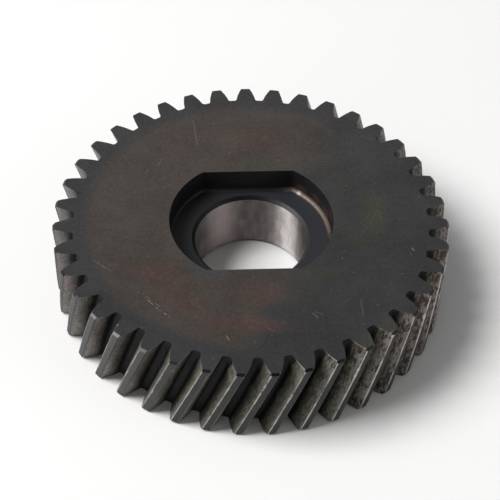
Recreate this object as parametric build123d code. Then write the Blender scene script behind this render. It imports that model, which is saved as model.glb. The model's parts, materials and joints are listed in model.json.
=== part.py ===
from build123d import *
from math import acos, asin, atan, cos, degrees, hypot, pi, radians, sin, sqrt, tan
import os

# Helical gear made from one piece of steel: a turned disc with hobbed teeth,
# a double-D seat sunk in its upper face and a ground bore through the seat's floor.
# Lengths are millimetres and angles are degrees unless a line says otherwise.
# +Z is up along the bore. The origin is on the bore's axis in the lower face,
# and the seat's two flats run along X.

# Teeth
tooth_count = 39
normal_module = 1.25
normal_pressure_angle = 20.0
helix_angle = 19.0            # at the pitch circle, right-handed
addendum_modules = 1.0
dedendum_modules = 1.25
root_fillet_radius = 0.35
widest_fillet = 0.8           # as a share of half the root's width, which limits the radius above
tooth_turn = 0.9              # of the tooth nearest +Y on the upper face, clockwise from above

# Turned disc
face_width = 12.7
tooth_end_chamfer = 0.3       # on the tips, at both faces

# Double-D seat in the upper face
seat_diameter = 22.4
seat_across_flats = 18.4
seat_depth = 3.7
seat_corner_radius = 0.8      # where a flat meets a round side
seat_floor_fillet = 0.5

# Bore
bore_diameter = 15.4
bore_seat_chamfer = 0.45      # at the seat's floor
bore_lower_chamfer = 0.4      # at the lower face

# A hob leaves each fillet and each flank as a few narrow flats, which run along the tooth
fillet_flats = 3
flank_flats = 4

# How far a cutter runs past the surfaces that it opens
cutter_overrun = 0.3

# Worked out from the sizes above. Angles from here on are radians.
helix = radians(helix_angle)
transverse_pressure_angle = atan(tan(radians(normal_pressure_angle)) / cos(helix))
pitch_radius = tooth_count * normal_module / cos(helix) / 2
tip_radius = pitch_radius + addendum_modules * normal_module
root_radius = pitch_radius - dedendum_modules * normal_module
base_radius = pitch_radius * cos(transverse_pressure_angle)
half_pitch = pi / tooth_count
twist_per_mm = tan(helix) / pitch_radius


def polar(radius, angle):
    return Vector(radius * cos(angle), radius * sin(angle))


def involute(angle):
    return tan(angle) - angle


def gap_half_angle(radius):
    # The gap is measured from its middle to one flank, which is radial below the base circle.
    flank_angle = acos(min(1.0, base_radius / radius))
    return half_pitch / 2 - involute(transverse_pressure_angle) + involute(flank_angle)


def root_fillet():
    # The fillet touches the root circle and the flank. A narrow root limits its radius.
    root_half_width = root_radius * gap_half_angle(root_radius)
    radius = min(root_fillet_radius, widest_fillet * root_half_width)
    centre_radius = root_radius + radius
    string = sqrt(max(0.0, centre_radius**2 - base_radius**2))
    if string > radius:
        foot_radius = hypot(base_radius, string - radius)
        centre_angle = gap_half_angle(centre_radius) - radius / base_radius
    else:
        foot_radius = sqrt(centre_radius**2 - radius**2)
        centre_angle = gap_half_angle(base_radius) - asin(radius / centre_radius)
    return foot_radius, centre_angle


def roll(radius):
    # How far the generating line has rolled on the base circle where it draws this radius of the flank.
    return sqrt(max(0.0, radius**2 - base_radius**2)) / base_radius


def flank_radii(start, end):
    # Flats of a hobbed flank are even steps of roll.
    step = (roll(end) - roll(start)) / flank_flats
    return [base_radius * hypot(1, roll(start) + step * i) for i in range(flank_flats + 1)]


def tooth_gap():
    # The gap between two teeth in the transverse plane, along +X, open past the tip circle.
    foot_radius, root_end = root_fillet()
    mouth_radius = tip_radius + cutter_overrun
    foot = polar(foot_radius, gap_half_angle(foot_radius))
    fillet_arc = TangentArc(polar(root_radius, root_end), foot, tangent=polar(1, root_end + pi / 2))
    side = [fillet_arc @ (i / fillet_flats) for i in range(fillet_flats)]
    if foot_radius < base_radius:
        side.append(foot)
    side += [polar(r, gap_half_angle(r)) for r in flank_radii(max(foot_radius, base_radius), mouth_radius)]
    flats = Polyline(*side)
    outline = Curve() + flats + mirror(flats, Plane.XZ)
    outline += ThreePointArc(polar(root_radius, -root_end), polar(root_radius, 0), polar(root_radius, root_end))
    outline += ThreePointArc(flats @ 1, polar(mouth_radius, 0), mirror(flats, Plane.XZ) @ 1)
    return make_face(outline)


def gap_cutters():
    # One twisted cutter for each gap, from below the lower face to above the upper face.
    length = face_width + 2 * cutter_overrun
    tooth_at_top = pi / 2 - radians(tooth_turn)
    gap_at_start = tooth_at_top + half_pitch - twist_per_mm * (face_width + cutter_overrun)
    start = Pos(0, 0, -cutter_overrun) * Rot(0, 0, degrees(gap_at_start)) * tooth_gap()
    cutter = Solid.extrude_linear_with_rotation(
        start.face(), (0, 0, -cutter_overrun), (0, 0, length), degrees(twist_per_mm * length)
    )
    return [cutter.rotate(Axis.Z, 360 / tooth_count * i) for i in range(tooth_count)]


def disc():
    blank = Cylinder(tip_radius, face_width, align=(Align.CENTER, Align.CENTER, Align.MIN))
    return chamfer(blank.edges().filter_by(GeomType.CIRCLE), tooth_end_chamfer)


def double_d_seat():
    outline = Circle(seat_diameter / 2) & Rectangle(seat_diameter, seat_across_flats)
    if seat_across_flats < seat_diameter:
        outline = fillet(outline.vertices(), seat_corner_radius)
    seat = Pos(0, 0, face_width - seat_depth) * extrude(outline, seat_depth + cutter_overrun)
    return fillet(seat.edges().group_by(Axis.Z)[0], seat_floor_fillet)


def bore():
    # The bore with a chamfer at the lower face and one at the seat's floor.
    radius = bore_diameter / 2
    seat_floor = face_width - seat_depth
    outline = Polyline(
        (0, -cutter_overrun),
        (radius + bore_lower_chamfer, -cutter_overrun),
        (radius + bore_lower_chamfer, 0),
        (radius, bore_lower_chamfer),
        (radius, seat_floor - bore_seat_chamfer),
        (radius + bore_seat_chamfer, seat_floor),
        (radius + bore_seat_chamfer, seat_floor + cutter_overrun),
        (0, seat_floor + cutter_overrun),
        close=True,
    )
    return revolve(Plane.XZ * make_face(outline), Axis.Z)


gear = disc() - double_d_seat() - bore() - gap_cutters()
gear.label = "helical_gear"

os.makedirs("parts", exist_ok=True)
export_step(gear, "parts/helical_gear.step")
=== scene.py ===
# Looks of the helical gear: worn and blackened steel, in metres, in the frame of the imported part.
import json
from math import acos, atan, atan2, cos, hypot, pi, radians, sin, sqrt, tan

import bpy
from mathutils import Matrix, Vector


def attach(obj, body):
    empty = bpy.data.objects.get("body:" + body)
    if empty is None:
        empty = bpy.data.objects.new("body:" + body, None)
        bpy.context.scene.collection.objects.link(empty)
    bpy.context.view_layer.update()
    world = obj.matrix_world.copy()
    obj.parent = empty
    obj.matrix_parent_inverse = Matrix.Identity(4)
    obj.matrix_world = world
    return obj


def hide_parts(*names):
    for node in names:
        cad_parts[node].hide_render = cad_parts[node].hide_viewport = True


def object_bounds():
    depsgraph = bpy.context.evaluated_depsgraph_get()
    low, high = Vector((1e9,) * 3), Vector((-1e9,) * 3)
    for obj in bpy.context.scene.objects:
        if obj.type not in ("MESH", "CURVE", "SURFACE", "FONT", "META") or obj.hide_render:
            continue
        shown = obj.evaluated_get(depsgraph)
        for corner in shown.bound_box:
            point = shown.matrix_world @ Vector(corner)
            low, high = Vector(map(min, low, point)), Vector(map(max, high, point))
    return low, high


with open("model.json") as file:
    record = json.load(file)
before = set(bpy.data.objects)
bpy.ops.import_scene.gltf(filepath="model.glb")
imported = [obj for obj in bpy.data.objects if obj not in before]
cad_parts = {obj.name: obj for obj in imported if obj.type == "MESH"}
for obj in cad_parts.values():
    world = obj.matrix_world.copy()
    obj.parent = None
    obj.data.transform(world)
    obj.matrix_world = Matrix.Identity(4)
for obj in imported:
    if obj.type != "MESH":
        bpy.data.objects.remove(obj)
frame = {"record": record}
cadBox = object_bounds()
mounts = {mount["name"]: mount for mount in frame["record"]["mounts"]}
mm = 0.001


# Wires and nodes, the same in a shader and in Geometry Nodes

class Wire:
    # A socket with arithmetic, so that a formula in a tree reads as a formula.
    def __init__(self, tree, socket):
        self.tree = tree
        self.socket = socket

    def maths(self, operation, *others):
        made = self.tree.nodes.new("ShaderNodeMath")
        made.operation = operation
        for place, value in enumerate((self, *others)):
            feed(self.tree, made.inputs[place], value)
        return Wire(self.tree, made.outputs[0])

    def __add__(self, other):
        return self.maths("ADD", other)

    def __sub__(self, other):
        return self.maths("SUBTRACT", other)

    def __rsub__(self, other):
        return self.maths("MULTIPLY_ADD", -1.0, other)

    def __mul__(self, other):
        return self.maths("MULTIPLY", other)

    def __truediv__(self, other):
        return self.maths("DIVIDE", other)

    __radd__ = __add__
    __rmul__ = __mul__

    def above(self, other):
        return self.maths("GREATER_THAN", other)

    def least(self, other):
        return self.maths("MAXIMUM", other)

    def most(self, other):
        return self.maths("MINIMUM", other)

    def soft(self, low, high):
        # Goes from 0 at low to 1 at high, and low may be the larger.
        sizes = {"Value": self, "From Min": low, "From Max": high}
        return out(node(self.tree, "ShaderNodeMapRange", sizes, interpolation_type="SMOOTHSTEP"), "Result")


def feed(tree, socket, value):
    if isinstance(value, Wire):
        tree.links.new(value.socket, socket)
    else:
        socket.default_value = value


def node(tree, kind, inputs=None, **settings):
    made = tree.nodes.new(kind)
    for name, value in settings.items():
        setattr(made, name, value)
    for key, value in (inputs or {}).items():
        feed(tree, made.inputs[key], value)
    return made


def out(made, key=0):
    return Wire(made.id_data, made.outputs[key])


def vector(tree, operation, a, b=(0.0, 0.0, 0.0), result=0):
    return out(node(tree, "ShaderNodeVectorMath", {0: a, 1: b}, operation=operation), result)


def noise(tree, place, size, detail=2.0, roughness=0.5, shift=(0.0, 0.0, 0.0)):
    moved = vector(tree, "ADD", place, shift)
    sizes = {"Vector": moved, "Scale": 1 / size, "Detail": detail, "Roughness": roughness}
    return out(node(tree, "ShaderNodeTexNoise", sizes))


def turned(tree, place, angle, centre=(0.0, 0.0, 0.0)):
    inputs = {"Vector": place, "Center": centre, "Angle": angle}
    return out(node(tree, "ShaderNodeVectorRotate", inputs, rotation_type="Z_AXIS"))


def mixColour(tree, share, first, second):
    made = node(tree, "ShaderNodeMix", {0: share, 6: first, 7: second}, data_type="RGBA")
    return out(made, 2)


def addObject(name, data):
    made = bpy.data.objects.new(name, data)
    bpy.context.scene.collection.objects.link(made)
    return made


# Shader groups for the finishes

def newGroup(name, inputs, outputs):
    # Every group has the place that is shaded as its first input.
    inputs = {"Place": (0, 0, 0), **inputs}
    group = bpy.data.node_groups.new(name, "ShaderNodeTree")
    for label, value in inputs.items():
        kind = "NodeSocketVector" if isinstance(value, tuple) else "NodeSocketFloat"
        group.interface.new_socket(label, in_out="INPUT", socket_type=kind).default_value = value
    for label in outputs:
        kind = "NodeSocketVector" if label == "Normal" else "NodeSocketFloat"
        group.interface.new_socket(label, in_out="OUTPUT", socket_type=kind)
    start = group.nodes.new("NodeGroupInput")
    end = group.nodes.new("NodeGroupOutput")
    return group, {label: out(start, label) for label in inputs}, end


def scratchGroup():
    # A straight scratch from Start to End, which may skip.
    group, given, end = newGroup("Scratch", {
        "Start": (0, 0, 0),
        "End": (0, 0, 0),
        "Width": 0.1 * mm,
        "Skips": 0.0,
    }, ["Mask"])
    along = vector(group, "SUBTRACT", given["End"], given["Start"])
    reach = vector(group, "SUBTRACT", given["Place"], given["Start"])
    reachAlong = vector(group, "DOT_PRODUCT", reach, along, "Value")
    share = reachAlong / vector(group, "DOT_PRODUCT", along, along, "Value")
    share = share.least(0.0).most(1.0)
    scaled = node(group, "ShaderNodeVectorMath", {0: along, "Scale": share}, operation="SCALE")
    away = vector(group, "SUBTRACT", reach, out(scaled))
    distance = vector(group, "LENGTH", away, result="Value")
    ragged = given["Width"] * (0.4 + noise(group, given["Place"], 0.5 * mm))
    line = distance.soft(ragged, ragged * 0.4)
    gaps = noise(group, given["Place"], 0.55 * mm).soft(given["Skips"], given["Skips"] + 0.06)
    feed(group, end.inputs["Mask"], line * gaps)
    return group


def patchGroup():
    # A soft oval patch on the XY plane, with a clouded edge.
    group, given, end = newGroup("Heat patch", {
        "Centre": (0, 0, 0),
        "Size": (1, 1, 1),
        "Turn": 0.0,
        "Cloud": 0.5,
    }, ["Mask"])
    place = turned(group, given["Place"], 0 - given["Turn"], given["Centre"])
    reach = vector(group, "DIVIDE", vector(group, "SUBTRACT", place, given["Centre"]), given["Size"])
    distance = vector(group, "LENGTH", reach, result="Value")
    distance = distance + (given["Cloud"] - 0.5) * 1.3
    feed(group, end.inputs["Mask"], distance.soft(1.35, 0.35))
    return group


def grimeGroup():
    # Broad clouds, fine speckle and sparse pale specks, all on the object's own coordinates.
    group, given, end = newGroup("Grime", {
        "Cloud size": 5 * mm,
        "Speck size": 0.45 * mm,
    }, ["Cloud", "Speckle", "Specks"])
    broad = vector(group, "DIVIDE", given["Place"], given["Cloud size"])
    feed(group, end.inputs["Cloud"], noise(group, broad, 1.0, 4.0, 0.55))
    fine = vector(group, "DIVIDE", given["Place"], given["Speck size"])
    feed(group, end.inputs["Speckle"], noise(group, fine, 1.0, 3.0, 0.7))
    sparse = noise(group, fine, 0.9, 1.0, 0.4, (31.0, 7.0, 3.0))
    where = noise(group, broad, 1.3, 2.0, 0.5, (2.0, 8.0, 0.0))
    feed(group, end.inputs["Specks"], sparse.soft(0.7, 0.8) * where.soft(0.42, 0.6))
    return group


def grainGroup():
    # The fine tooth of blackened steel, as a normal.
    group, given, end = newGroup("Steel grain", {
        "Grain size": 0.1 * mm,
        "Depth": 0.3,
        "Height": 0.0,
    }, ["Normal"])
    fine = vector(group, "DIVIDE", given["Place"], given["Grain size"])
    grain = noise(group, fine, 1.0, 2.0, 0.6)
    bump = node(group, "ShaderNodeBump", {
        "Height": grain * 0.01 * mm + given["Height"] * mm, "Strength": given["Depth"], "Distance": 1.0,
    })
    feed(group, end.inputs["Normal"], out(bump))
    return group


def pittingGroup():
    # Dark pits and rubbed streaks on a tooth's flank, both drawn out along the tooth.
    group, given, end = newGroup("Pitting", {
        "Pit size": 0.3 * mm,
        "Amount": 0.5,
    }, ["Pits", "Streaks"])
    close = vector(group, "DIVIDE", given["Place"], given["Pit size"])
    drawnOut = vector(group, "MULTIPLY", close, (1.0, 1.0, 0.45))
    spread = noise(group, close, 7.0, 2.0, 0.5, (11.0, 0.0, 0.0))
    pits = noise(group, drawnOut, 1.2, 3.0, 0.65)
    edge = 0.69 - given["Amount"] * 0.18 - (spread - 0.5) * 0.4
    feed(group, end.inputs["Pits"], pits.soft(edge, edge + 0.08))
    broad = noise(group, drawnOut, 2.6, 3.0, 0.6, (0.0, 5.0, 0.0))
    narrow = noise(group, vector(group, "MULTIPLY", close, (1.0, 1.0, 0.25)), 0.6, 2.0, 0.6, (0.0, 0.0, 7.0))
    feed(group, end.inputs["Streaks"], broad * 0.6 + narrow * 0.4)
    return group


def hairlineGroup():
    # Fine handling scratches, long and thin along X once the surface is turned by Turn.
    group, given, end = newGroup("Hairlines", {
        "Turn": 0.0,
        "Width": 0.12 * mm,
    }, ["Mask"])
    close = vector(group, "DIVIDE", turned(group, given["Place"], given["Turn"]), given["Width"])
    lines = noise(group, vector(group, "MULTIPLY", close, (0.05, 1.0, 1.0)), 1.0, 1.0, 0.5)
    where = noise(group, close, 26.0, 2.0, 0.5, (3.0, 9.0, 0.0))
    feed(group, end.inputs["Mask"], lines.soft(0.7, 0.78) * where.soft(0.5, 0.62))
    return group


shared = {
    "scratch": scratchGroup(),
    "patch": patchGroup(),
    "grime": grimeGroup(),
    "grain": grainGroup(),
    "pitting": pittingGroup(),
    "hairlines": hairlineGroup(),
}


def useGroup(tree, name, **inputs):
    made = node(tree, "ShaderNodeGroup", node_tree=shared[name])
    for key, value in inputs.items():
        feed(tree, made.inputs[key.replace("_", " ")], value)
    return made


# Finishes

colours = {  # linear, as the steel looks in plain white light, apart from the painted highlights, reflections, light and shade marked below
    "blueBlack": (0.043, 0.043, 0.046, 1),
    "brownBlack": (0.074, 0.06, 0.051, 1),
    "copper": (0.108, 0.062, 0.052, 1),
    "olive": (0.057, 0.06, 0.042, 1),
    "slate": (0.052, 0.057, 0.068, 1),
    # painted sheen, for the upper face's lighter back
    "haze": (0.12, 0.106, 0.094, 1),
    "lowerGrime": (0.02, 0.02, 0.02, 1),
    "lowerSpeck": (0.16, 0.14, 0.12, 1),
    "shadow": (0.01, 0.01, 0.01, 1),
    "speck": (0.15, 0.135, 0.12, 1),
    "scratch": (0.42, 0.36, 0.3, 1),
    # painted shade, for the tooth roots
    "root": (0.007, 0.007, 0.0075, 1),
    "flankLow": (0.088, 0.09, 0.07, 1),
    "flankHigh": (0.2, 0.193, 0.158, 1),
    "flankPink": (0.205, 0.156, 0.151, 1),
    "pit": (0.022, 0.011, 0.009, 1),
    "rubbedFleck": (0.32, 0.3, 0.27, 1),
    "land": (0.033, 0.033, 0.034, 1),
    "landGrain": (0.062, 0.062, 0.062, 1),
    # painted highlight on the tip lands at the front left
    "rubbedLand": (0.09, 0.09, 0.092, 1),
    "bareEdge": (0.4, 0.375, 0.345, 1),
    "rubbedEdge": (0.12, 0.115, 0.1, 1),
    "chamfer": (0.029, 0.029, 0.032, 1),
    # painted highlight on the end chamfers at the front left
    "bareChamfer": (0.23, 0.226, 0.222, 1),
    "seat": (0.008, 0.008, 0.009, 1),
    "seatFloor": (0.026, 0.026, 0.031, 1),
    "seatRust": (0.085, 0.034, 0.026, 1),
    # coppery tint with a painted highlight, on the seat fillet
    "seatCopper": (0.165, 0.125, 0.1, 1),
    # painted light, on the bore chamfer's right side
    "seatEdge": (0.055, 0.056, 0.058, 1),
    "bore": (0.41, 0.385, 0.375, 1),
    "boreStain": (0.23, 0.203, 0.19, 1),
    # painted reflection, on the bore's far wall
    "borePink": (0.55, 0.46, 0.46, 1),
}


# What each finish is made of. Sizes, blurs, radii, edges, reaches and heights are in millimetres, and
# hairlineTurns are in degrees. Depths go from 0 at the root to 1 at the tip, and shineTurn is in whole turns.
looks = {
    "upperFace": {
        "metallic": 0.3, "roughness": 0.4, "cloudRoughness": 0.16, "markRoughness": -0.1, "grain": 0.35,
        "cloudSize": 5.0,
        "rimBlur": 4.0, "rimRadii": (23.6, 21.6),  # the rim stays blue-black
        "warmSize": 9.0, "warmBlur": 12.0, "warmLean": 0.25, "warmEdge": (9.0, 3.0),
        "hazeReach": (-20.0, 24.0), "haze": 0.2, "mottle": 0.5, "specks": 0.4, "speckMarks": 0.1,
        "hairlineTurns": (20, 75, 140), "hairlines": 0.12, "markHeight": -0.01,
    },
    "lowerFace": {
        "metallic": 0.3, "roughness": 0.4, "cloudRoughness": 0.16, "grain": 0.35, "cloudSize": 6.0,
        "rimBlur": 6.0, "rimRadii": (22.8, 20.2), "grime": 0.25, "specks": 0.35,
    },
    "flank": {
        "metallic": 0.45, "roughness": 0.34, "streakRoughness": 0.2, "rootRoughness": 0.25, "grain": 0.5,
        "pitting": 0.2, "rightPitting": 0.95, "pits": 0.9, "pitHeight": -0.02,
        "rubbedRagged": 2.6, "rubbedDepth": (0.35, 0.95),
        "rootRagged": 0.5, "rootDepth": (0.42, 0.24),
        "rightReach": (4.0, 20.0), "pinkReach": (8.0, 20.0), "pinkSize": 3.0,
        "streakSize": 0.21, "streakDraw": 0.25, "darkStreaks": 0.75, "paleFlecks": 0.45,
        "meshedDepth": (0.25, 0.45), "dirtyDepth": (0.91, 0.97), "dirty": 0.7, "dirtyReach": (-6.0, -14.0),
    },
    "land": {
        "metallic": 0.0, "roughness": 0.6, "specular": 0.2, "grain": 0.6, "cloudSize": 2.0, "speckSize": 0.3,
        "worn": 0.5, "wornRagged": 0.2,
    },
    "bareEdge": {
        "metallic": 1.0, "roughness": 0.26, "speckleRoughness": 0.22, "grain": 0.5, "cloudSize": 1.2,
        "drivenBare": 0.25, "dirty": 0.8, "dirtyReach": (-6.0, -14.0),
    },
    "endChamfer": {
        "metallic": 1.0, "roughness": 0.3, "speckleRoughness": 0.14, "grain": 0.2, "cloudSize": 2.5,
    },
    "seatWall": {
        "metallic": 0.0, "roughness": 0.55, "specular": 0.18, "grain": 0.3, "cloudSize": 3.0, "grime": 0.3,
    },
    "seatFillet": {
        "metallic": 0.1, "shineMetallic": 0.25, "roughness": 0.46, "specular": 0.38, "grain": 0.3,
        "cloudSize": 2.0, "evenShine": 0.5, "speckledShine": 0.7,
    },
    "seatFloor": {
        "metallic": 0.25, "roughness": 0.4, "grain": 0.3, "cloudSize": 3.0, "slate": 0.4,
        "leftDark": 0.45, "leftReach": (4.0, -8.0),
    },
    "bore": {
        "metallic": 1.0, "roughness": 0.44, "speckleRoughness": 0.08, "anisotropy": 1.0, "shineTurn": 0.25,
        "cloudSize": 4.0, "stainSize": 1.1, "stainDraw": 0.35, "stain": 0.75,
        "lineSize": 0.12, "lineDraw": 0.04, "lines": 0.08,
    },
    "boreChamfer": {
        "metallic": 0.5, "roughness": 0.38, "grain": 0.3, "cloudSize": 2.0, "brightBlur": 6.0,
        "brightReach": (2.0, 8.0),
    },
}

wholeHeight = 1000.0  # so tall that a patch is the same all the way down

# Local marks: centre and size in millimetres, turn in degrees, share
localMarks = {
    # A painted highlight on the tip lands at the front left.
    "rubbedLand": ((-20.5, -17.0, 0.0), (11.0, 6.0, wholeHeight), -48, 0.8),
    # A painted highlight on the end chamfers at the front left.
    "bareChamfer": ((-18.6, -19.4, 0.0), (7.5, 4.2, wholeHeight), -42, 1.0),
    # A painted highlight and a painted glint spot on the seat fillet.
    "seatShine": ((9.6, 5.4, 0.0), (3.4, 6.4, wholeHeight), 28, 1.0),
    "seatSpot": ((7.2, 8.2, 9.3), (0.42, 0.42, 0.42), 0, 1.0),
    "seatRustFar": ((7.6, 8.4, 10.0), (1.0, 1.2, 0.6), 0, 0.6),
    "seatRustMiddle": ((9.5, 6.0, 10.3), (1.0, 1.2, 0.6), 0, 0.6),
    "seatRustLow": ((10.7, 3.6, 10.2), (1.0, 1.2, 0.6), 0, 0.6),
    "seatRustNear": ((11.1, 1.6, 11.4), (1.0, 1.2, 0.6), 0, 0.6),
    # A painted reflection on the bore's wall.
    "boreBand": ((-3.7, 6.7, 0.0), (2.6, 2.6, wholeHeight), 0, 0.6),
}


class Finish:
    # A material in the making: its tree, its noises, and its colour so far.
    def __init__(self, name, key, colour):
        self.look = looks[key]
        self.material = bpy.data.materials.new(name)
        self.material.use_nodes = True
        self.tree = self.material.node_tree
        self.sockets = self.tree.nodes["Principled BSDF"].inputs
        self.sockets["Metallic"].default_value = self.look["metallic"]
        self.sockets["Specular IOR Level"].default_value = self.look.get("specular", 0.5)
        self.place = out(node(self.tree, "ShaderNodeTexCoord"), "Object")
        self.colour = colours[colour]
        if "cloudSize" in self.look:
            grime = useGroup(self.tree, "grime", Place=self.place, Cloud_size=self.look["cloudSize"] * mm,
                             Speck_size=self.look.get("speckSize", 0.45) * mm)
            self.cloud = out(grime, "Cloud")
            self.speckle = out(grime, "Speckle")
            self.specks = out(grime, "Specks")

    def side(self, axis):
        return out(node(self.tree, "ShaderNodeSeparateXYZ", {0: self.place}), axis)

    def ramp(self, value, key, unit=1.0):
        # Goes from 0 to 1 between the two values that the look gives.
        low, high = self.look[key]
        return value.soft(low * unit, high * unit)

    def withinRim(self):
        flat = vector(self.tree, "MULTIPLY", self.place, (1.0, 1.0, 0.0))
        radius = vector(self.tree, "LENGTH", flat, result="Value")
        return self.ramp(radius + (self.cloud - 0.5) * self.look["rimBlur"] * mm, "rimRadii", mm)

    def noise(self, place, key, detail, roughness, shift=(0.0, 0.0, 0.0)):
        return noise(self.tree, place, self.look[key] * mm, detail, roughness, shift)

    def squeeze(self, key):
        # The place, with its height squeezed, so that a noise is drawn out upwards.
        return vector(self.tree, "MULTIPLY", self.place, (1.0, 1.0, self.look[key]))

    def patch(self, centre, size, turn, cloud=0.5):
        return out(useGroup(self.tree, "patch", Place=self.place, Centre=Vector(centre) * mm,
                            Size=Vector(size) * mm, Turn=radians(turn), Cloud=cloud))

    def local(self, name, cloud=0.5):
        centre, size, turn, share = localMarks[name]
        return self.patch(centre, size, turn, cloud) * share

    def mix(self, share, colour):
        self.colour = mixColour(self.tree, share, self.colour, colours[colour])

    def dirtyCorner(self):
        # The trailing tip corners on the left are made darker, where the leading ones are bare.
        trailing = 1.0 - attribute(self.tree, "drivenSide")
        return trailing * self.ramp(self.side("X"), "dirtyReach", mm)

    def done(self, rougher=0.0, height=0.0):
        roughness = self.look["roughness"] + rougher
        if "cloudRoughness" in self.look:
            roughness = roughness + self.cloud * self.look["cloudRoughness"]
        if "speckleRoughness" in self.look:
            roughness = roughness + self.speckle * self.look["speckleRoughness"]
        feed(self.tree, self.sockets["Roughness"], roughness)
        feed(self.tree, self.sockets["Base Color"], self.colour)
        if "grain" in self.look:
            grain = useGroup(self.tree, "grain", Place=self.place, Depth=self.look["grain"], Height=height)
            feed(self.tree, self.sockets["Normal"], out(grain))
        return self.material


def attribute(tree, name):
    return out(node(tree, "ShaderNodeAttribute", attribute_name=name), "Fac")


# Millimetres on the upper face: place, size, turn in degrees, tint, share
heatPatches = [
    ((-9.0, 15.5), (4.2, 2.2), 15, "copper", 0.4),
    ((0.8, 15.6), (5.4, 2.2), 0, "copper", 0.65),
    ((-12.0, -9.6), (4.8, 1.9), -10, "copper", 0.8),
    ((-10.0, -14.2), (4.8, 2.2), -42, "copper", 0.65),
    ((-1.6, -18.6), (5.4, 1.5), -4, "copper", 0.8),
    ((1.0, -13.6), (4.2, 2.4), 0, "copper", 0.6),
    ((17.0, 0.6), (1.9, 4.4), -6, "olive", 1.0),
    ((14.4, -3.6), (2.2, 2.0), 20, "olive", 0.6),
    ((8.0, -10.4), (3.2, 1.3), 10, "olive", 0.6),
    ((6.2, -13.6), (2.8, 1.6), 30, "olive", 0.45),
    ((1.8, 10.6), (3.2, 1.1), 0, "olive", 0.6),
    ((12.6, 7.4), (2.2, 2.2), 0, "olive", 0.3),
    ((17.3, -18.9), (2.6, 1.6), 48, "olive", 0.85),
    ((14.0, -21.8), (2.6, 1.6), 38, "olive", 0.85),
    ((15.2, 13.4), (2.6, 2.2), 0, "slate", 0.6),
    ((-6.4, -9.6), (3.2, 1.3), -12, "slate", 0.7),
]

# Millimetres on the upper face: start, end, width, skips, strength
scratches = [
    ((-7.5, 20.1), (-7.0, 14.8), 0.16, 0.24, 0.12),
    ((-15.4, -12.8), (-12.6, -16.0), 0.06, 0.48, 0.9),
    ((-12.6, -16.0), (-10.0, -18.3), 0.06, 0.48, 0.9),
    ((-14.8, -13.1), (-12.2, -15.8), 0.045, 0.46, 0.5),
    ((-18.1, -18.2), (-18.0, -18.4), 0.12, 0.1, 1.00),
    ((-15.3, -21.8), (-15.1, -21.9), 0.13, 0.1, 1.00),
    ((4.1, -24.5), (4.2, -24.6), 0.09, 0.1, 0.6),
    ((-21.4, -7.0), (-18.8, -9.2), 0.075, 0.47, 0.3),
    ((13.5, -15.0), (13.6, -17.6), 0.08, 0.36, 0.22),
    ((7.1, -17.1), (7.7, -17.9), 0.11, 0.35, 0.25),
    ((7.4, -16.8), (8.3, -17.3), 0.09, 0.35, 0.2),
    ((-4.2, -20.5), (-3.9, -21.2), 0.1, 0.3, 0.45),
    ((21.3, -6.1), (21.6, -6.5), 0.1, 0.2, 0.5),
    ((-12.6, 10.9), (-12.0, 12.2), 0.16, 0.38, 0.12),
    ((-14.4, 9.1), (-14.0, 9.9), 0.18, 0.34, 0.12),
    ((14.6, -3.9), (17.3, 0.8), 0.07, 0.44, 0.12),
    ((17.2, 5.2), (17.9, -2.6), 0.07, 0.46, 0.1),
]


def scratchMarks(finish, marks):
    height = cadBox[1].z
    for start, end, width, skips, strength in scratches:
        ends = {"Start": (start[0] * mm, start[1] * mm, height), "End": (end[0] * mm, end[1] * mm, height)}
        line = useGroup(finish.tree, "scratch", Place=finish.place, Width=width * mm, Skips=skips, **ends)
        marks = marks.least(out(line) * strength)
    return marks


def upperFaceFinish():
    finish = Finish("blackenedUpperFace", "upperFace", "blueBlack")
    look, cloud = finish.look, finish.cloud
    # Brown tint towards the left and back, partly real tint and partly painted light: it also makes the face
    # lighter on the side the key light comes from.
    wide = finish.noise(finish.place, "warmSize", 3.0, 0.5, (0.0, 0.004, 0.0))
    warmLitSide = finish.side("X") - finish.side("Y") * look["warmLean"] + (wide - 0.5) * look["warmBlur"] * mm
    finish.mix(finish.withinRim() * finish.ramp(warmLitSide, "warmEdge", mm), "brownBlack")
    for centre, size, turn, tint, share in heatPatches:
        patch = finish.patch((*centre, cadBox[1].z / mm), (*size, wholeHeight), turn, cloud)
        finish.mix(patch * share, tint)
    # Painted sheen: the face is painted lighter towards the back, where it reflects more light.
    finish.mix(finish.ramp(finish.side("Y"), "hazeReach", mm) * look["haze"], "haze")
    mottle = (finish.speckle * 0.6 + cloud * 0.4).soft(0.7, 0.3)
    finish.mix(mottle * look["mottle"], "shadow")
    finish.mix(finish.specks * look["specks"], "speck")
    marks = finish.specks * look["speckMarks"]
    for turn in look["hairlineTurns"]:
        lines = useGroup(finish.tree, "hairlines", Place=finish.place, Turn=radians(turn))
        marks = marks.least(out(lines) * look["hairlines"])
    marks = scratchMarks(finish, marks)
    finish.mix(marks, "scratch")
    return finish.done(marks * look["markRoughness"], marks * look["markHeight"])


def lowerFaceFinish():
    finish = Finish("blackenedLowerFace", "lowerFace", "blueBlack")
    finish.mix(finish.withinRim() * finish.cloud.soft(0.4, 0.6), "brownBlack")
    finish.mix(finish.speckle * finish.look["grime"], "lowerGrime")
    finish.mix(finish.specks * finish.look["specks"], "lowerSpeck")
    return finish.done()


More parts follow.
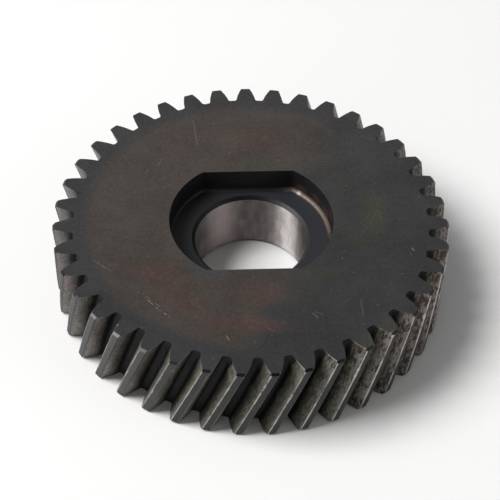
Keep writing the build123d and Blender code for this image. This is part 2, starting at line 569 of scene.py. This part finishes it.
def flankColour(finish, unwound, depth, streaks):
    # Olive, then paler and pinker towards the tip, partly rubbed and partly painted light, with black painted
    # shade at the root and fine upright streaks.
    look, tree = finish.look, finish.tree
    eitherSide = finish.ramp(finish.side("X").maths("ABSOLUTE"), "pinkReach", mm)
    pinkCloud = finish.noise(unwound, "pinkSize", 2.0, 0.5, (0.02, 0.0, 0.0))
    pink = eitherSide * pinkCloud.soft(0.38, 0.56)
    # Paler towards the tip: partly rubbed, and partly painted light where the key light gets past the
    # neighbouring tooth.
    rubbedAndLit = finish.ramp(depth + (streaks - 0.5) * look["rubbedRagged"], "rubbedDepth")
    rubbedAndLitColour = mixColour(tree, pink, colours["flankHigh"], colours["flankPink"])
    finish.colour = mixColour(tree, rubbedAndLit, finish.colour, rubbedAndLitColour)
    # Painted shade: black deep in the tooth gaps, where the neighbouring teeth shade the flank.
    finish.mix(finish.ramp(depth + (streaks - 0.5) * look["rootRagged"], "rootDepth"), "root")
    fine = finish.noise(finish.squeeze("streakDraw"), "streakSize", 2.0, 0.6, (0.0, 0.03, 0.0))
    finish.mix(fine.soft(0.5, 0.68) * look["darkStreaks"], "pit")
    finish.mix(fine.soft(0.47, 0.3) * rubbedAndLit * look["paleFlecks"], "rubbedFleck")


def flankFinish():
    finish = Finish("rubbedFlank", "flank", "flankLow")
    look, tree = finish.look, finish.tree
    depth = attribute(tree, "toothDepth")
    unwound = turned(tree, finish.place, finish.side("Z") * -twistPerMetre)
    amount = look["pitting"] + finish.ramp(finish.side("X"), "rightReach", mm) * look["rightPitting"]
    pitting = useGroup(tree, "pitting", Place=unwound, Amount=amount)
    pits, streaks = out(pitting, "Pits"), out(pitting, "Streaks")
    flankColour(finish, unwound, depth, streaks)
    finish.mix(pits * finish.ramp(depth, "meshedDepth") * look["pits"], "pit")
    worn = attribute(tree, "edgeWear").soft(0.45, 0.6) * attribute(tree, "drivenSide")
    finish.mix(worn, "rubbedEdge")
    finish.mix(finish.dirtyCorner() * finish.ramp(depth, "dirtyDepth") * look["dirty"], "shadow")
    rougher = streaks * look["streakRoughness"] + depth.soft(0.25, 0.1) * look["rootRoughness"]
    return finish.done(rougher, pits * look["pitHeight"])


def landFinish():
    finish = Finish("blackenedTipLand", "land", "land")
    ragged = (finish.speckle - 0.5) * finish.look["wornRagged"]
    worn = (attribute(finish.tree, "edgeWear") + ragged).soft(0.52, 0.64)
    finish.mix(finish.speckle, "landGrain")
    finish.mix(worn * finish.look["worn"], "rubbedEdge")
    # Painted highlight: the lands at the front left are painted paler, where they catch the key light.
    finish.mix(finish.local("rubbedLand", finish.cloud), "rubbedLand")
    return finish.done()


def bareEdgeFinish():
    # Rubbed bare on the driven side, and only rubbed grey on the other.
    finish = Finish("bareWornEdge", "bareEdge", "rubbedEdge")
    driven = attribute(finish.tree, "drivenSide") * finish.look["drivenBare"]
    finish.mix((finish.cloud + driven).soft(0.55, 0.75), "bareEdge")
    finish.mix(finish.dirtyCorner() * finish.look["dirty"], "shadow")
    return finish.done()


def endChamferFinish():
    # Blackened, with a painted highlight: a brighter patch on a few teeth at the front left, where the key
    # light glints.
    finish = Finish("endChamferSteel", "endChamfer", "chamfer")
    finish.mix(finish.local("bareChamfer", finish.speckle), "bareChamfer")
    return finish.done()


def seatWallFinish():
    # Milled and blackened, with rust low on its right end.
    finish = Finish("blackenedSeatWall", "seatWall", "seat")
    for name in ("seatRustMiddle", "seatRustNear", "seatRustLow", "seatRustFar"):
        finish.mix(finish.local(name, finish.speckle), "seatRust")
    finish.mix(finish.speckle * finish.look["grime"], "seatFloor")
    return finish.done()


def seatFilletFinish():
    # Blackened too, with a coppery tint and a painted highlight along it towards the right, and one painted
    # bright spot of glint.
    finish = Finish("seatFilletSteel", "seatFillet", "seat")
    look = finish.look
    speckled = look["evenShine"] + finish.speckle * look["speckledShine"]
    shine = (finish.local("seatShine", finish.cloud) * speckled).most(1.0)
    finish.mix(shine, "seatCopper")
    # Painted highlight: one bright spot, in the bare edge's colour, where the fillet glints.
    finish.mix(finish.local("seatSpot"), "bareEdge")
    feed(finish.tree, finish.sockets["Metallic"], look["metallic"] + shine * look["shineMetallic"])
    return finish.done()


def seatFloorFinish():
    finish = Finish("blackenedSeatFloor", "seatFloor", "seatFloor")
    finish.mix(finish.speckle * finish.look["slate"], "slate")
    # Painted shadow: darker on the left, where the seat's left wall shades the floor from the key light.
    finish.mix(finish.ramp(finish.side("X"), "leftReach", mm) * finish.look["leftDark"], "seat")
    return finish.done()


def boreFinish():
    # Ground bright, so its shine runs along the bore, and stained a little brown.
    finish = Finish("groundBore", "bore", "bore")
    look, tree = finish.look, finish.tree
    finish.sockets["Anisotropic"].default_value = look["anisotropy"]
    finish.sockets["Anisotropic Rotation"].default_value = look["shineTurn"]
    around = node(tree, "ShaderNodeTangent", direction_type="RADIAL", axis="Z")
    feed(tree, finish.sockets["Tangent"], out(around))
    ground = vector(tree, "MULTIPLY", finish.place, (look["lineDraw"], look["lineDraw"], 1.0))
    lines = (finish.noise(ground, "lineSize", 2.0, 0.6) - 0.5) * look["lines"]
    upright = finish.noise(finish.squeeze("stainDraw"), "stainSize", 3.0, 0.6)
    stain = (finish.cloud * 0.4 + upright * 0.6 + lines).soft(0.36, 0.62)
    finish.mix(stain * look["stain"], "boreStain")
    # Painted reflection: a paler pink upright band where the bore reflects light from the front right.
    finish.mix(finish.local("boreBand"), "borePink")
    return finish.done()


def boreChamferFinish():
    finish = Finish("boreChamferSteel", "boreChamfer", "seat")
    # Painted light: the chamfer is painted paler on its right side, which faces the key light.
    ragged = (finish.cloud - 0.5) * finish.look["brightBlur"] * mm
    finish.mix(finish.ramp(finish.side("X") + ragged, "brightReach", mm), "seatEdge")
    return finish.done()


# The finish of each surface. The surfaces are numbered for the tree in this order.
finishMakers = {
    "upperFace": upperFaceFinish,
    "flank": flankFinish,
    "land": landFinish,
    "bareEdge": bareEdgeFinish,
    "endChamfer": endChamferFinish,
    "seatWall": seatWallFinish,
    "seatFillet": seatFilletFinish,
    "seatFloor": seatFloorFinish,
    "bore": boreFinish,
    "boreChamfer": boreChamferFinish,
    "lowerFace": lowerFaceFinish,
}
zone = {name: number for number, name in enumerate(finishMakers)}


# The gear. Lengths are millimetres here, and angles are degrees.
gear = {
    "toothCount": 39,
    "normalModule": 1.25,
    "pressureAngle": 20.0,
    "helixAngle": 19.0,
    "dedendumModules": 1.25,
    "rootFillet": 0.35,
    "toothTurn": 0.9,
    "endChamfer": 0.3,
    "seatDiameter": 22.4,
    "seatAcrossFlats": 18.4,
    "seatCorner": 0.8,
    "seatFloorFillet": 0.5,
    "seatEdgeBreak": 0.03,
    "boreSeatChamfer": 0.45,
    "boreLowerChamfer": 0.4,
    "faceEdgeBreak": 0.035,
    "evenWear": 0.02,  # of the tooth's tip corners
    "unevenWear": 0.06,
    "mostWear": 0.27,
    "drivenSideWear": 1.8,  # times the wear of the other side
    "rightSideWear": 0.3,  # share added on the right
    "slowWearSize": 2.6,
    "quickWearSize": 0.7,
    "nickDepth": 0.2,
    "nickSize": 0.9,
    "nickShare": (0.56, 0.78),  # of the noise, from no nick to a full one
    "wearSeed": 4.0,
    "seedStep": 10.0,  # how far a seed or the other side of a tooth moves the noise
    "sideStep": 5.0,
    "cornerMove": 0.3,  # of a worn corner's middle point, for the moves of its neighbours
    "edgeShare": 0.6,  # marks the two sides of a worn corner in edgeWear
    "creaseAngle": 29,
    "mergeDistance": 0.001,
    "rowsAlongTooth": 52,
    "flankSteps": 5,
    "filletSteps": 2,
    "seatFilletSteps": 4,
    "boreSteps": 3,
    "upperFaceRings": (24.0, 21.5, 18.5, 15.0),
    "lowerFaceRings": (12.0, 18.0, 24.0),
}

faceWidth = cadBox[1].z - cadBox[0].z
tipRadius = (cadBox[1].x - cadBox[0].x) / 2
boreRadius = mounts["bore"]["dims"]["r_mm"] * mm
seatFloor = mounts["seat_floor"]["pos_m"][2]
helix = radians(gear["helixAngle"])
rollAngle = atan(tan(radians(gear["pressureAngle"])) / cos(helix))
pitchRadius = gear["toothCount"] * gear["normalModule"] * mm / cos(helix) / 2
rootRadius = pitchRadius - gear["dedendumModules"] * gear["normalModule"] * mm
baseRadius = pitchRadius * cos(rollAngle)
halfPitch = pi / gear["toothCount"]
twistPerMetre = tan(helix) / pitchRadius


def involute(angle):
    return tan(angle) - angle


def gapHalfAngle(radius):
    flankAngle = acos(min(1.0, baseRadius / radius))
    return halfPitch / 2 - involute(rollAngle) + involute(flankAngle)


def fromPolar(radius, angle):
    return Vector((radius * cos(angle), radius * sin(angle)))


def rootFillet():
    # From the root circle to the flank: points, and where it leaves the root circle.
    size = gear["rootFillet"] * mm
    string = sqrt((rootRadius + size) ** 2 - baseRadius ** 2)
    footRadius = hypot(baseRadius, string - size)
    rootEnd = gapHalfAngle(rootRadius + size) - size / baseRadius
    centre = fromPolar(rootRadius + size, rootEnd)
    foot = fromPolar(footRadius, gapHalfAngle(footRadius))
    start = fromPolar(rootRadius, rootEnd) - centre
    turn = start.angle_signed(foot - centre)
    between = [turn * (i + 1) / (gear["filletSteps"] + 1) for i in range(gear["filletSteps"])]
    points = [centre + Matrix.Rotation(-angle, 2) @ start for angle in between]
    return rootEnd, points, footRadius


def flankRadii(start, end):
    def roll(radius):
        return sqrt(radius ** 2 - baseRadius ** 2) / baseRadius
    step = (roll(end) - roll(start)) / gear["flankSteps"]
    return [baseRadius * hypot(1, roll(start) + step * i) for i in range(gear["flankSteps"] + 1)]


def halfPitchPoints():
    # From the gap's middle to the middle of the tooth's tip.
    # Each point is its place, the surface of the strip after it, and its share of the wear.
    rootEnd, filletPoints, footRadius = rootFillet()
    tip = fromPolar(tipRadius, gapHalfAngle(tipRadius))
    flankTop = tipRadius - gear["endChamfer"] * mm
    points = [(fromPolar(rootRadius, 0.0), "flank", 0.0), (fromPolar(rootRadius, rootEnd), "flank", 0.0)]
    points += [(p, "flank", 0.0) for p in filletPoints]
    points += [(fromPolar(r, gapHalfAngle(r)), "flank", 0.0) for r in flankRadii(footRadius, flankTop)]
    edgeShare = gear["edgeShare"]
    points += [(tip, "bareEdge", edgeShare), (tip, "bareEdge", 1.0), (tip, "land", edgeShare)]
    points.append((fromPolar(tipRadius, halfPitch), "land", 0.0))
    return points


def wearMove(corner):
    # How a tip corner's three points move for each unit of wear: down the flank, inwards, and along the land.
    flankLean = acos(baseRadius / tipRadius)
    down = Vector((-cos(flankLean), -sin(flankLean)))
    along = Vector((0.0, 1.0))
    return {0: down, 1: (down + along) * gear["cornerMove"], 2: along}[corner]


def helperMesh(name, rows):
    # A mesh of loose points that carries the rows' values as named attributes.
    mesh = bpy.data.meshes.new(name)
    mesh.from_pydata([(0, 0, 0)] * len(rows), [], [])
    for key in rows[0]:
        layer = mesh.attributes.new(key, "FLOAT", "POINT")
        layer.data.foreach_set("value", [float(row[key]) for row in rows])
    return addObject(name, mesh)


def pitchOutline():
    half = halfPitchPoints()
    tips = [i for i, (p, kind, share) in enumerate(half) if share]
    rows = []
    for i, (p, kind, share) in enumerate(half):
        move = wearMove(tips.index(i)) if share else Vector((0, 0))
        rows.append({"radius": p.length, "angle": atan2(p.y, p.x), "kind": zone[kind], "wear": share,
                     "wearOut": move.x, "wearAround": move.y, "side": -1.0})
    for i in range(len(half) - 2, 0, -1):
        first = rows[i]
        rows.append({**first, "angle": 2 * halfPitch - first["angle"], "kind": rows[i - 1]["kind"],
                     "wearAround": -first["wearAround"], "side": 1.0})
    places = [fromPolar(row["radius"], row["angle"]) for row in rows]
    for row, (outwards, around) in zip(rows, outlineNormals(places)):
        row["insetOut"] = outwards
        row["insetAround"] = around
        row["depth"] = (row["radius"] - rootRadius) / (tipRadius - rootRadius)
    return helperMesh("pitchOutline", rows)


def outlineNormals(places):
    # Inward normals of the outline, in the directions out from the axis and around it.
    turn = 2 * halfPitch
    apart = gear["mergeDistance"] * mm
    found = []
    for i, p in enumerate(places):
        before = next(q for q in walk(places, i, -1, turn) if (q - p).length > apart)
        after = next(q for q in walk(places, i, 1, turn) if (q - p).length > apart)
        step = (after - p).normalized() + (p - before).normalized()
        inward = Vector((-step.y, step.x)).normalized()
        outward = p.normalized()
        found.append((inward.dot(outward), inward.dot(Vector((-outward.y, outward.x)))))
    return found


def walk(places, start, step, turn):
    # The places on either side of one, on into the next pitch.
    count = len(places)
    for i in range(1, count):
        at = start + step * i
        q = places[at % count]
        angle = turn * (at // count)
        yield Vector((q.x * cos(angle) - q.y * sin(angle), q.x * sin(angle) + q.y * cos(angle)))


def sectionLoop():
    # From the lower face up the teeth, in over the upper face, down the seat and the bore, and out below.
    edge, chamfer = gear["faceEdgeBreak"] * mm, gear["endChamfer"] * mm
    floorFillet = gear["seatFloorFillet"] * mm
    seatEdge = gear["seatEdgeBreak"] * mm
    boreUpper = gear["boreSeatChamfer"] * mm
    boreLower = gear["boreLowerChamfer"] * mm
    rows = []

    def add(surface, height, radius=0.0, tooth=0.0, seat=0.0, inset=0.0, ends=0.0):
        rows.append({"surface": zone[surface], "height": height, "plain": radius, "tooth": tooth,
                     "seat": seat, "inset": inset, "ends": ends})

    add("flank", 0.0, tooth=1.0, inset=edge, ends=1.0)
    add("flank", edge, tooth=1.0, ends=1.0)
    count = gear["rowsAlongTooth"]
    for i in range(count + 1):
        height = chamfer + (faceWidth - 2 * chamfer) * i / count
        add("flank", height, tooth=1.0, ends=1.0 if i == count else 0.0)
    add("flank", faceWidth - edge, tooth=1.0, ends=1.0)
    add("upperFace", faceWidth, tooth=1.0, inset=edge)
    for radius in gear["upperFaceRings"]:
        add("upperFace", faceWidth, radius * mm)
    add("seatWall", faceWidth, seat=1.0, inset=-seatEdge)
    add("seatWall", faceWidth - seatEdge, seat=1.0)
    add("seatWall", (faceWidth + seatFloor) / 2, seat=1.0)
    steps = gear["seatFilletSteps"]
    for i in range(steps + 1):
        angle = pi / 2 * i / steps
        surface = "seatFillet" if i < steps else "seatFloor"
        height = seatFloor + floorFillet * (1 - sin(angle))
        add(surface, height, seat=1.0, inset=floorFillet * (1 - cos(angle)))
    add("boreChamfer", seatFloor, boreRadius + boreUpper)
    steps = gear["boreSteps"]
    for i in range(steps + 1):
        surface = "bore" if i < steps else "boreChamfer"
        add(surface, seatFloor - boreUpper - (seatFloor - boreUpper - boreLower) * i / steps, boreRadius)
    add("lowerFace", 0.0, boreRadius + boreLower)
    for radius in gear["lowerFaceRings"]:
        add("lowerFace", 0.0, radius * mm)
    return helperMesh("sectionLoop", rows)


def seatRadius(angle, inset):
    # The double-D outline, drawn in by the inset, in the direction of the angle.
    roundSide = gear["seatDiameter"] * mm / 2
    flat = gear["seatAcrossFlats"] * mm / 2
    corner = gear["seatCorner"] * mm
    reach, rise = roundSide - corner, flat - corner
    side = sqrt(reach ** 2 - rise ** 2)
    x = angle.maths("COSINE").maths("ABSOLUTE")
    y = angle.maths("SINE").maths("ABSOLUTE").least(1e-6)
    onRound = (y * side - x * rise).maths("LESS_THAN", 0.0)
    onFlat = (y * side - x * (flat - inset)).above(0.0)
    centre = x * side + y * rise
    cornerSize = (corner - inset).least(0.0)
    inCorner = centre + (centre * centre - reach ** 2 + cornerSize * cornerSize).least(0.0).maths("SQRT")
    straight = (flat - inset) / y
    found = onFlat * straight + (1.0 - onFlat) * inCorner
    return onRound * (roundSide - inset) + (1.0 - onRound) * found


def namedValue(tree, name):
    return out(node(tree, "GeometryNodeInputNamedAttribute", {"Name": name}), "Attribute")


class PointList:
    # The helper mesh behind an input of the tree: how many points it has, and the values on them.
    def __init__(self, tree, helper):
        self.tree = tree
        self.mesh = out(node(tree, "GeometryNodeObjectInfo", {"Object": helper}), "Geometry")
        self.count = out(node(tree, "GeometryNodeAttributeDomainSize", {0: self.mesh}), "Point Count")

    def lookUp(self, name, index):
        inputs = {0: self.mesh, "Value": namedValue(self.tree, name), "Index": index}
        return out(node(self.tree, "GeometryNodeSampleIndex", inputs))

    def lookUpAll(self, names, index):
        return {name: self.lookUp(name, index) for name in names}


def makeSockets(tree, values):
    # An input for each value, of the kind that the value is.
    kinds = {"Object": "NodeSocketObject", "int": "NodeSocketInt", "float": "NodeSocketFloat"}
    for label, value in values.items():
        tree.interface.new_socket(label, in_out="INPUT", socket_type=kinds[type(value).__name__])
    tree.interface.new_socket("Gear", in_out="OUTPUT", socket_type="NodeSocketGeometry")
    start = tree.nodes.new("NodeGroupInput")
    return {label: out(start, label) for label in values}


def fromAxis(angle, radius, height):
    sides = {0: angle.maths("COSINE") * radius, 1: angle.maths("SINE") * radius, 2: height}
    return out(node(angle.tree, "ShaderNodeCombineXYZ", sides))


def drivenShare(outline):
    return 0.5 - outline["side"] * 0.5


def cornerWear(tree, given, outline, angle, height):
    # The wear of a tip corner changes along each tooth, and differs from tooth to tooth.
    seedStep, sideStep = gear["seedStep"] * mm, gear["sideStep"] * mm
    height = height + given["Seed"] * seedStep + outline["side"] * sideStep
    corner = fromAxis(angle, outline["radius"], height)
    slow = noise(tree, corner, gear["slowWearSize"] * mm, 3.0, 0.6)
    quick = noise(tree, corner, gear["quickWearSize"] * mm, 2.0, 0.6, (0.05, 0.0, 0.0))
    nickCloud = noise(tree, corner, gear["nickSize"] * mm, 2.0, 0.6, (0.0, 0.09, 0.0))
    uneven = slow.soft(0.35, 0.7) * 0.7 + quick * 0.3
    driven = 1.0 + (given["Driven side wear"] - 1.0) * drivenShare(outline)
    wear = (given["Even wear"] + given["Uneven wear"] * uneven) * driven
    wear = wear + nickCloud.soft(*gear["nickShare"]) * given["Nick depth"]
    rightSide = angle.maths("COSINE").soft(0.3, 0.9)
    wear = wear * (1.0 + rightSide * gear["rightSideWear"])
    return wear.most(gear["mostWear"] * mm)


def gearPlace(tree, given, outline, section, pitch):
    # Where each point of the grid goes, on a tooth, on a plain ring or on the seat.
    height, inset = section["height"], section["inset"]
    twist = given["Twist per metre"] * (height - given["Face width"])
    angle = outline["angle"] + pitch * (2 * halfPitch) + given["First gap"] + twist
    wear = cornerWear(tree, given, outline, angle, height) * section["tooth"]
    toothRadius = outline["radius"] + wear * outline["wearOut"] + inset * outline["insetOut"]
    nearFace = height.most(given["Face width"] - height)
    toothRadius = toothRadius.most(given["Tip radius"] - (given["End chamfer"] - nearFace).least(0.0))
    around = (wear * outline["wearAround"] + inset * outline["insetAround"]) / outline["radius"]
    radius = section["tooth"] * toothRadius + section["plain"] + section["seat"] * seatRadius(angle, inset)
    angle = angle + around * section["tooth"]
    return fromAxis(angle, radius, height)


def surfaceNumber(index, outlineList, sectionList):
    # Which surface each face of the grid belongs to.
    column = (index / sectionList.count).maths("FLOOR")
    row = index - column * sectionList.count
    kind = outlineList.lookUp("kind", column.maths("MODULO", outlineList.count))
    surface = sectionList.lookUp("surface", row)
    onTooth = surface.maths("COMPARE", zone["flank"], 0.1)
    onEnd = sectionList.lookUp("ends", row) * kind.above(zone["flank"] + 0.5)
    toothKind = kind + onEnd * (zone["endChamfer"] - kind)
    return surface + onTooth * (toothKind - surface)


def change(shape, kind, inputs=None, **settings):
    # One more step for the shape.
    return out(node(shape.tree, "GeometryNode" + kind, {"Geometry": shape, **(inputs or {})}, **settings))


def storeValues(shape, values, domain="POINT"):
    for name, value in values.items():
        shape = change(shape, "StoreNamedAttribute", {"Name": name, "Value": value}, domain=domain)
    return shape


def creaseShape(shape):
    shape = change(shape, "MergeByDistance", {"Distance": gear["mergeDistance"] * mm})
    shape = change(shape, "SetShadeSmooth", {"Shade Smooth": True})
    turn = out(node(shape.tree, "GeometryNodeInputMeshEdgeAngle"), "Unsigned Angle")
    crease = namedValue(shape.tree, "crease").above(0.9)
    sharp = turn.above(radians(gear["creaseAngle"])).least(crease)
    return change(shape, "SetShadeSmooth", {"Selection": sharp, "Shade Smooth": False}, domain="EDGE")


def setFinishes(shape, finishes):
    stored = namedValue(shape.tree, "surface")
    for name, finish in finishes.items():
        chosen = stored.maths("COMPARE", zone[name], 0.1)
        shape = change(shape, "SetMaterial", {"Selection": chosen, "Material": finish})
    return shape


def gearTree(values, finishes):
    # A grid with a column for each outline point of each pitch and a row for each point of the section.
    tree = bpy.data.node_groups.new("helicalGear", "GeometryNodeTree")
    tree.is_modifier = True
    given = makeSockets(tree, values)
    outlineList = PointList(tree, given["Pitch outline"])
    sectionList = PointList(tree, given["Section loop"])
    rows = sectionList.count
    columns = outlineList.count * given["Tooth count"]
    grid = node(tree, "GeometryNodeMeshGrid", {"Vertices X": columns + 1, "Vertices Y": rows + 1})
    index = out(node(tree, "GeometryNodeInputIndex"))
    column = (index / (rows + 1)).maths("FLOOR")
    row = (index - column * (rows + 1)).maths("MODULO", rows)
    outline = outlineList.lookUpAll((
        "radius", "angle", "wear", "wearOut", "wearAround", "insetOut", "insetAround", "side", "depth",
    ), column.maths("MODULO", outlineList.count))
    section = sectionList.lookUpAll(("height", "plain", "tooth", "seat", "inset"), row)
    place = gearPlace(tree, given, outline, section, (column / outlineList.count).maths("FLOOR"))
    shape = change(out(grid), "SetPosition", {"Position": place})
    shape = storeValues(shape, {
        "toothDepth": outline["depth"] * section["tooth"],
        "edgeWear": outline["wear"],
        "drivenSide": drivenShare(outline),
        "crease": outline["wear"].maths("COMPARE", gear["edgeShare"], 0.01),
    })
    shape = storeValues(shape, {"surface": surfaceNumber(index, outlineList, sectionList)}, "FACE")
    shape = change(creaseShape(shape), "RealizeInstances")
    end = tree.nodes.new("NodeGroupOutput")
    feed(tree, end.inputs["Gear"], setFinishes(shape, finishes))
    return tree


def makeGear():
    outline, section = pitchOutline(), sectionLoop()
    values = {
        "Pitch outline": outline,
        "Section loop": section,
        "Tooth count": gear["toothCount"],
        "Face width": faceWidth,
        "Tip radius": tipRadius,
        "Twist per metre": twistPerMetre,
        "First gap": pi / 2 - radians(gear["toothTurn"]) + halfPitch,
        "End chamfer": gear["endChamfer"] * mm,
        "Even wear": gear["evenWear"] * mm,
        "Uneven wear": gear["unevenWear"] * mm,
        "Driven side wear": gear["drivenSideWear"],
        "Nick depth": gear["nickDepth"] * mm,
        "Seed": gear["wearSeed"],
    }
    tree = gearTree(values, {name: make() for name, make in finishMakers.items()})
    carrier = addObject("gearCarrier", bpy.data.meshes.new("gearCarrier"))
    modifier = carrier.modifiers.new("helicalGear", "NODES")
    modifier.node_group = tree
    for socket in tree.interface.items_tree:
        if socket.in_out == "INPUT":
            modifier[socket.identifier] = values[socket.name]
    depsgraph = bpy.context.evaluated_depsgraph_get()
    mesh = bpy.data.meshes.new_from_object(carrier.evaluated_get(depsgraph))
    mesh.name = "helicalGear"
    for slot in reversed(range(len(mesh.materials))):
        if mesh.materials[slot] is None:
            mesh.materials.pop(index=slot)
    for used in (carrier, outline, section):
        bpy.data.objects.remove(used)
    made = addObject("helicalGearFinished", mesh)
    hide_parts("helical_gear")
    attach(made, "root")
    print("gear made:", len(mesh.polygons), "faces,", len(mesh.materials), "finishes")
    return made


# The floor and the light. Sizes are in metres.
stageSetup = {
    "floorSize": 3.0,
    "floorGap": 0.00005,  # under the lower face
    "floorColour": (0.8, 0.79, 0.78, 1),  # in what the floor throws back on the gear
    "floorSeen": (0.98, 0.975, 0.97, 1),  # to look at
    "floorRoughness": 0.9,
    "floorSpecular": 0.1,
    "skyStrength": 0.24,  # behind the gear
    "frontSkyStrength": 0.1,  # before it
    "frontReach": (-0.35, 0.15),  # Y of the direction, from the front sky to the one behind
    "horizonReach": (0.4, 0.2),  # Z of the direction, down to where the sky is white to look at
}

# Direction seen from the gear, distance and size in metres, power in watts
lamps = {
    "keyLight": ((-0.62, 0.00, 0.78), 1.1, 0.55, 12.8),
    "frontLight": ((-0.42, -0.78, 0.46), 1.0, 0.5, 0.45),
    "rightLight": ((0.78, -0.36, 0.51), 1.0, 0.6, 0.8),
}


def seenDirectly(tree):
    path = node(tree, "ShaderNodeLightPath")
    seen = out(path, "Is Camera Ray")
    for other in ("Is Glossy Ray", "Is Transmission Ray"):
        seen = seen.least(out(path, other))
    return seen


def makeFloor():
    half = stageSetup["floorSize"] / 2
    mesh = bpy.data.meshes.new("floor")
    low = -stageSetup["floorGap"]
    corners = [(-half, -half, low), (half, -half, low), (half, half, low), (-half, half, low)]
    mesh.from_pydata(corners, [], [(0, 1, 2, 3)])
    floor = addObject("floor", mesh)
    made = bpy.data.materials.new("paleFloor")
    made.use_nodes = True
    tree = made.node_tree
    surface = tree.nodes["Principled BSDF"]
    surface.inputs["Roughness"].default_value = stageSetup["floorRoughness"]
    surface.inputs["Specular IOR Level"].default_value = stageSetup["floorSpecular"]
    colour = mixColour(tree, seenDirectly(tree), stageSetup["floorColour"], stageSetup["floorSeen"])
    feed(tree, surface.inputs["Base Color"], colour)
    mesh.materials.append(made)
    print("floor made")


def makeSky():
    world = bpy.data.worlds.new("studio")
    bpy.context.scene.world = world
    world.use_nodes = True
    tree = world.node_tree
    backdrop = tree.nodes["Background"]
    backdrop.inputs["Color"].default_value = (1, 1, 1, 1)
    sides = node(tree, "ShaderNodeSeparateXYZ", {0: out(node(tree, "ShaderNodeTexCoord"), "Generated")})
    low = out(sides, "Z").soft(*stageSetup["horizonReach"])
    behind = out(sides, "Y").soft(*stageSetup["frontReach"])
    front = stageSetup["frontSkyStrength"]
    sky = behind * (stageSetup["skyStrength"] - front) + front
    seen = seenDirectly(tree) * low
    feed(tree, backdrop.inputs["Strength"], seen * (1.0 - sky) + sky)


def makeLamps():
    for name, (direction, distance, size, power) in lamps.items():
        lamp = bpy.data.lights.new(name, "AREA")
        lamp.shape = "SQUARE"
        lamp.size = size
        lamp.energy = power
        made = addObject(name, lamp)
        towards = Vector(direction).normalized()
        made.location = towards * distance
        made.rotation_mode = "QUATERNION"
        made.rotation_quaternion = towards.to_track_quat("Z", "Y")
    print("lamps made:", ", ".join(lamps))


# The camera. Lengths are in millimetres, and angles are in degrees.
camera = {
    "target": (-0.4705, -5.794, 12.7),
    "distance": 199.56,
    "azimuth": -4.195,
    "elevation": 47.333,
    "roll": 1.8726,
    "lens": 107.37,
    "sensor": 36,
    "nearest": 10,
    "farthest": 10000,
}


def makeCamera():
    azimuth, elevation, roll = (radians(camera[key]) for key in ("azimuth", "elevation", "roll"))
    back = Vector((sin(azimuth) * cos(elevation), -cos(azimuth) * cos(elevation), sin(elevation)))
    level = Vector((cos(azimuth), sin(azimuth), 0.0))
    upright = back.cross(level)
    right = cos(roll) * level + sin(roll) * upright
    up = cos(roll) * upright - sin(roll) * level
    lens = bpy.data.cameras.new("camera")
    lens.lens = camera["lens"]
    lens.sensor_width = camera["sensor"]
    lens.clip_start = camera["nearest"] * mm
    lens.clip_end = camera["farthest"] * mm
    made = addObject("camera", lens)
    turn = Matrix((right, up, back)).transposed()
    made.rotation_mode = "QUATERNION"
    made.rotation_quaternion = turn.to_quaternion()
    made.location = (Vector(camera["target"]) + back * camera["distance"]) * mm
    bpy.context.scene.camera = made
    print("camera made")


makeGear()
makeFloor()
makeSky()
makeLamps()
makeCamera()
bpy.context.scene.view_settings.view_transform = "Standard"
